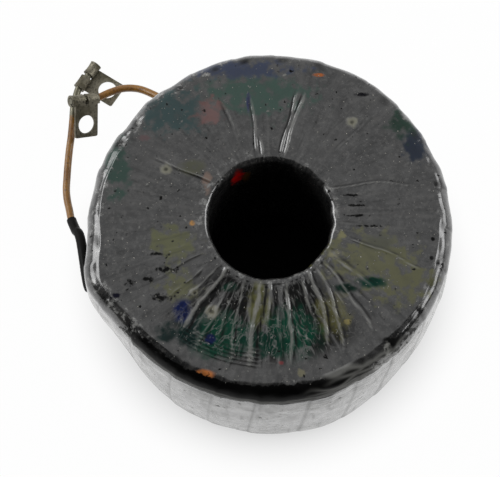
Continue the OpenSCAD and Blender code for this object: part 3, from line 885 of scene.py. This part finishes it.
def tab_shape():
    """Points and faces of the flat tab, with its hole, between the two faces of the sheet."""
    outline = tab_outline()
    hole = [(SCREW_R * math.cos(a), SCREW_Y + SCREW_R * math.sin(a))
            for a in np.linspace(0, 2 * math.pi, 48, endpoint=False)]
    flat = outline + hole
    n, h = len(flat), len(outline)
    fill = tessellate_polygon([[Vector((*p, 0)) for p in outline], [Vector((*p, 0)) for p in hole]])
    points = [(*p, -CURL_R) for p in flat] + [(*p, -CURL_R - SHEET) for p in flat]
    faces = [tuple(t) for t in fill] + [tuple(n + k for k in reversed(t)) for t in fill]
    faces += [(k, (k + 1) % h, n + (k + 1) % h, n + k) for k in range(h)]
    m = n - h
    faces += [(h + k, h + (k + 1) % m, n + h + (k + 1) % m, n + h + k) for k in range(m)]
    return points, faces


def grip_shape(x0, pinch):
    """A strip of sheet rolled round the wire from the tab's plane, a little waisted by the crimping tool."""
    steps, cuts = 44, 6
    points = []
    for k in range(steps + 1):
        a = math.radians(CURL * k / steps)
        for layer in (0, 1):
            for c in range(cuts + 1):
                u = c / cuts
                waist = pinch * math.sin(math.pi * u) * math.sin(a / 2)
                r = CURL_R + layer * (SHEET - waist)
                points.append((x0 + GRIP_L * u, r * math.sin(a), -r * math.cos(a)))
    row = 2 * (cuts + 1)
    faces = []
    for k in range(steps):
        a, b = k * row, (k + 1) * row
        for c in range(cuts):
            faces.append((a + c, a + c + 1, b + c + 1, b + c))
            faces.append((a + cuts + 1 + c, b + cuts + 1 + c, b + cuts + 2 + c, a + cuts + 2 + c))
        faces.append((a, b, b + cuts + 1, a + cuts + 1))
        faces.append((a + cuts, a + row - 1, b + row - 1, b + cuts))
    for a in (0, steps * row):
        faces += [(a + c, a + cuts + 1 + c, a + cuts + 2 + c, a + c + 1) for c in range(cuts)]
    return points, faces


def terminal(name, route_points, roll):
    points, faces = [], []
    shapes = (tab_shape(), grip_shape(-BARREL / 2, 0.10), grip_shape(GRIP_GAP / 2, 0.16))
    for shape_points, shape_faces in shapes:
        faces += [tuple(len(points) + k for k in f) for f in shape_faces]
        points += shape_points
    tip, before = Vector(route_points[-1]), Vector(route_points[-2])
    way = (tip - before).normalized()
    turn = (Matrix.Rotation(math.atan2(way.y, way.x), 3, "Z") @ Matrix.Rotation(-math.asin(way.z), 3, "Y")
            @ Matrix.Rotation(math.radians(roll), 3, "X"))
    centre = tip - way * BARREL / 2
    piece = mesh_piece(name, [tuple(turn @ Vector(p) + centre) for p in points], faces)
    face_outwards(piece)
    rounded = piece.modifiers.new("edges", "BEVEL")
    rounded.width, rounded.segments, rounded.limit_method = 0.10 * MM, 2, "ANGLE"
    rounded.angle_limit = math.radians(40)
    mesh = plain_mesh(piece)
    mesh.shade_smooth()
    mesh.set_sharp_from_angle(angle=math.radians(38))
    return piece


START_ROLL, FINISH_ROLL = 138, 0
start_terminal = terminal("start_flag_terminal", START_POINTS, START_ROLL)
finish_terminal = terminal("finish_flag_terminal", FINISH_POINTS, FINISH_ROLL)
print("terminal faces:", len(start_terminal.data.polygons))

# %% Tinned brass finish
tin_finish, tree, bsdf = new_finish("tinned_brass")
grime = grime_of(tree, 330.0, 2200.0)
colour = mix_colour(tree, grime["Cloud"], (0.26, 0.24, 0.185, 1), (0.12, 0.108, 0.072, 1))
colour = mix_colour(tree, grime["Speck"], colour, (0.05, 0.045, 0.03, 1))
bump = add(tree, "ShaderNodeBump", {"Height": grime["Speck"], "Strength": 0.15, "Distance": 0.00008})
set_inputs(tree, bsdf, {"Base Color": colour, "Normal": bump.outputs["Normal"],
                        "Roughness": ramp_value(tree, grime["Cloud"], 0, 1, 0.50, 0.68),
                        "Metallic": ramp_value(tree, grime["Speck"], 0, 1, 0.80, 0.30)})
for piece, node in ((start_terminal, "start_terminal"), (finish_terminal, "finish_terminal")):
    piece.data.materials.append(tin_finish)
    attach(piece, "root")
    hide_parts(node)
print("terminals finished")

# %% [markdown]
# The two wires join the root body in place of their solids, and each one's length is printed.

for piece, node, route, carried in (
        (start_lead, "start_lead", start_route, [start_sleeve, start_terminal]),
        (finish_lead, "finish_lead", finish_route, [finish_sleeve, finish_terminal])):
    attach(piece, "root")
    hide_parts(node)
    print(piece.name, "%.1f mm" % route_length(route))

# %% [markdown]
# The winding and the core are inside the bandage and never show, but they stay in the model as solids, so
# each gets a finish of its own kind.

# %% Finishes of the hidden solids
def plain_finish(name, one, two, metal, rough):
    finish, tree, bsdf = new_finish(name)
    grime = grime_of(tree, 150.0, 1500.0)
    roughness = ramp_value(tree, grime["Speck"], 0, 1, rough, rough + 0.15)
    set_inputs(tree, bsdf, {"Base Color": mix_colour(tree, grime["Cloud"], one, two),
                            "Roughness": roughness, "Metallic": metal})
    return finish


HIDDEN = {
    "core": plain_finish("core_iron", (0.10, 0.10, 0.10, 1), (0.16, 0.15, 0.14, 1), 0.8, 0.5),
    "core_tape": plain_finish("core_tape", (0.50, 0.47, 0.36, 1), (0.42, 0.38, 0.27, 1), 0.0, 0.45),
    "winding": plain_finish("winding_enamel", (0.29, 0.135, 0.022, 1), (0.20, 0.085, 0.014, 1), 0.0, 0.3),
}
for node, finish in HIDDEN.items():
    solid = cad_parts[node]
    solid.data.materials.clear()
    solid.data.materials.append(finish)
print("hidden solids finished:", sorted(HIDDEN))

# %% [markdown]
# The photograph has a white table with no edge. A broad pale floor gives it: the camera and the gloss see it
# nearly white, and a part of its real shading is kept so that the ring still has its shadow. Under the ring
# the floor is painted near black, a painted shadow that shows through the bore. The room is light behind and
# above and dark in front, which darkens the front rim, where a black stripe is also painted as a dark
# reflection, and two soft boxes light the rims from the left and the right.

# %% Floor
FLOOR_HALF, FLOOR_WHITE, PAINTED_SHADOW_R = 3.0, 0.98, 46
floor = mesh_piece("floor", [(sx * FLOOR_HALF / MM, sy * FLOOR_HALF / MM, -0.02)
                             for sx, sy in ((-1, -1), (1, -1), (1, 1), (-1, 1))], [(0, 1, 2, 3)])
floor_finish = bpy.data.materials.new("pale_floor")
floor_finish.use_nodes = True
tree = floor_finish.node_tree
tree.nodes.clear()
# Painted shadow: the floor near black under the ring, seen through its bore
painted_shadow_under_ring = soft_patch(tree, place_of(tree), (0, 0, 0), [PAINTED_SHADOW_R] * 3, 0.0, MARK_GRAIN)
paint = mix_colour(tree, painted_shadow_under_ring, (0.86, 0.86, 0.86, 1), (0.01, 0.01, 0.01, 1))
dull = add(tree, "ShaderNodeBsdfDiffuse", {"Color": paint})
white = add(tree, "ShaderNodeEmission", {"Color": (1, 1, 1, 1), "Strength": 1.0})
rays = add(tree, "ShaderNodeLightPath").outputs
seen = sum_up(tree, "MAXIMUM", rays["Is Camera Ray"], rays["Is Glossy Ray"])
seen = sum_up(tree, "MAXIMUM", seen, rays["Is Transmission Ray"])
clear = sum_up(tree, "SUBTRACT", 1.0, painted_shadow_under_ring)
share = times(tree, times(tree, seen, clear), FLOOR_WHITE)
both = add(tree, "ShaderNodeMixShader", {0: share, 1: dull.outputs[0], 2: white.outputs[0]})
add(tree, "ShaderNodeOutputMaterial", {"Surface": both.outputs[0]})
floor.data.materials.append(floor_finish)
print("floor made")

# %% Light
ROOM_LIGHT, ROOM_DARK = 0.55, 0.02
world = bpy.data.worlds.new("room")
scene.world = world
world.use_nodes = True
tree = world.node_tree
tree.nodes.clear()
toward = add(tree, "ShaderNodeSeparateXYZ", {0: add(tree, "ShaderNodeTexCoord").outputs["Generated"]})
level = ramp_value(tree, toward.outputs["Y"], -0.16, 0.06, ROOM_DARK, ROOM_LIGHT)
room = add(tree, "ShaderNodeBackground", {"Color": (1, 1, 1, 1), "Strength": level})
backdrop = add(tree, "ShaderNodeBackground", {"Color": (1, 1, 1, 1), "Strength": 1.0})
rays = add(tree, "ShaderNodeLightPath").outputs
both = add(tree, "ShaderNodeMixShader",
           {0: rays["Is Camera Ray"], 1: room.outputs[0], 2: backdrop.outputs[0]})
add(tree, "ShaderNodeOutputWorld", {"Surface": both.outputs[0]})


def soft_box(name, place, size, watts):
    lamp = bpy.data.lights.new(name, "AREA")
    lamp.shape = "RECTANGLE"
    lamp.size, lamp.size_y = size
    lamp.energy = watts
    holder = bpy.data.objects.new(name, lamp)
    holder.location = place
    holder.rotation_euler = (Vector((0, 0, 0.02)) - Vector(place)).to_track_quat("-Z", "Y").to_euler()
    scene.collection.objects.link(holder)
    return holder


soft_box("left_box", (-0.88, 0.34, 0.62), (1.0, 0.5), 6.0)
soft_box("right_box", (0.95, 0.15, 0.60), (1.0, 0.5), 5.0)
print("lights set")
